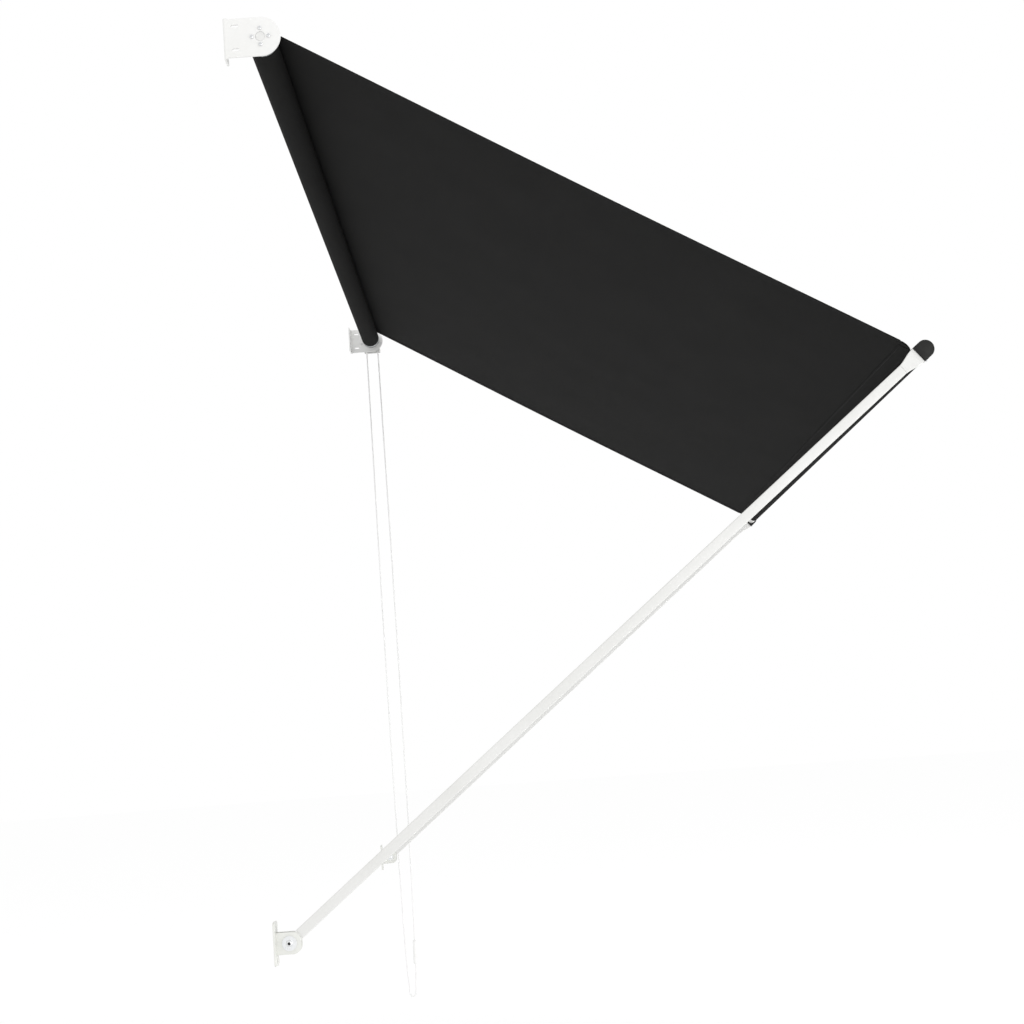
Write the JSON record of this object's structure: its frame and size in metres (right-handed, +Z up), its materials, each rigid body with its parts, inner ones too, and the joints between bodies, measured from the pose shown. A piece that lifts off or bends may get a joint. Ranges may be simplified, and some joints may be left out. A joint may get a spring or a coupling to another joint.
{
  "type": "retractable window awning",
  "caption": "Drop-arm window awning let out: dark cloth from a wall roller to a front tube on hinged arms, with wall brackets and a looped operating cord.",
  "frame": {"origin": "on the wall plane, at the height of the roller's axis, in the middle of the cloth's width", "axes": "+X along the roller to the cord's end, +Y into the wall, so the awning reaches out along -Y, +Z up"},
  "size_m": [2.0305, 1.2093, 2.049],
  "materials": {
    "white_steel": "smooth white powder coat on folded steel",
    "white_tube": "smooth white paint on an aluminium tube",
    "white_plastic": "satin white moulded plastic",
    "dark_plastic": "satin dark grey moulded plastic",
    "zinc_steel": "bright zinc plate",
    "galvanised_tube": "dull galvanised",
    "dark_cloth": "matt dark grey woven polyester",
    "cord": "white braided cord"
  },
  "bodies": {
    "wall_frame": {"left_roller_bracket": "white_steel", "right_roller_bracket": "white_steel", "left_bearing": "white_plastic", "right_bearing": "white_plastic", "left_bearing_screw_1": "zinc_steel", "left_bearing_screw_2": "zinc_steel", "left_bearing_screw_3": "zinc_steel", "left_bearing_screw_4": "zinc_steel", "right_bearing_screw_1": "zinc_steel", "right_bearing_screw_2": "zinc_steel", "right_bearing_screw_3": "zinc_steel", "right_bearing_screw_4": "zinc_steel", "drive_housing": "white_plastic", "wrap_spring": "zinc_steel", "drive_screw_1": "zinc_steel", "drive_screw_2": "zinc_steel", "drive_screw_3": "zinc_steel", "cord_loop": "cord", "cord_over_wheel": "cord", "cord_joiner": "white_plastic", "left_arm_bracket": "white_steel", "left_pivot_bolt": "zinc_steel", "left_outer_washer": "zinc_steel", "left_inner_washer": "zinc_steel", "left_lock_nut": "zinc_steel", "right_arm_bracket": "white_steel", "right_pivot_bolt": "zinc_steel", "right_outer_washer": "zinc_steel", "right_inner_washer": "zinc_steel", "right_lock_nut": "zinc_steel"},
    "arm_frame": {"front_tube": "white_tube", "front_hem": "dark_cloth", "left_arm_tube": "white_tube", "left_arm_foot": "white_plastic", "left_pivot_bush": "zinc_steel", "left_arm_head": "white_plastic", "left_knuckle": "dark_plastic", "left_knuckle_screw": "zinc_steel", "right_arm_tube": "white_tube", "right_arm_foot": "white_plastic", "right_pivot_bush": "zinc_steel", "right_arm_head": "white_plastic", "right_knuckle": "dark_plastic", "right_knuckle_screw": "zinc_steel"},
    "roller": {"roller_tube": "galvanised_tube", "left_roller_plug": "dark_plastic", "right_roller_plug": "dark_plastic", "fabric_roll": "dark_cloth", "cord_wheel": "dark_plastic", "drive_shaft": "zinc_steel"},
    "fabric_run": {"fabric_panel": "dark_cloth"}
  },
  "joints": [
    {"name": "arm_swing", "type": "hinge", "parent": "wall_frame", "child": "arm_frame", "pos_m": [0, -0.026, -1.59], "axis": [-1, 0, 0], "range_deg": [0, 49.5]},
    {"name": "roller_spin", "type": "hinge", "parent": "wall_frame", "child": "roller", "pos_m": [0, -0.066, 0], "axis": [-1, 0, 0], "range_deg": [0, 2366.15]},
    {"name": "fabric_tilt", "type": "hinge", "parent": "wall_frame", "child": "fabric_run", "pos_m": [0, -0.066, 0], "axis": [1, 0, 0], "range_deg": [0, 75.1], "deforming": ["fabric_panel"]}
  ],
  "couplings": [
    {"joint": "roller_spin", "follows": "arm_swing", "ratio": 47.7},
    {"joint": "fabric_tilt", "follows": "arm_swing", "ratio": 1.5102}
  ]
}
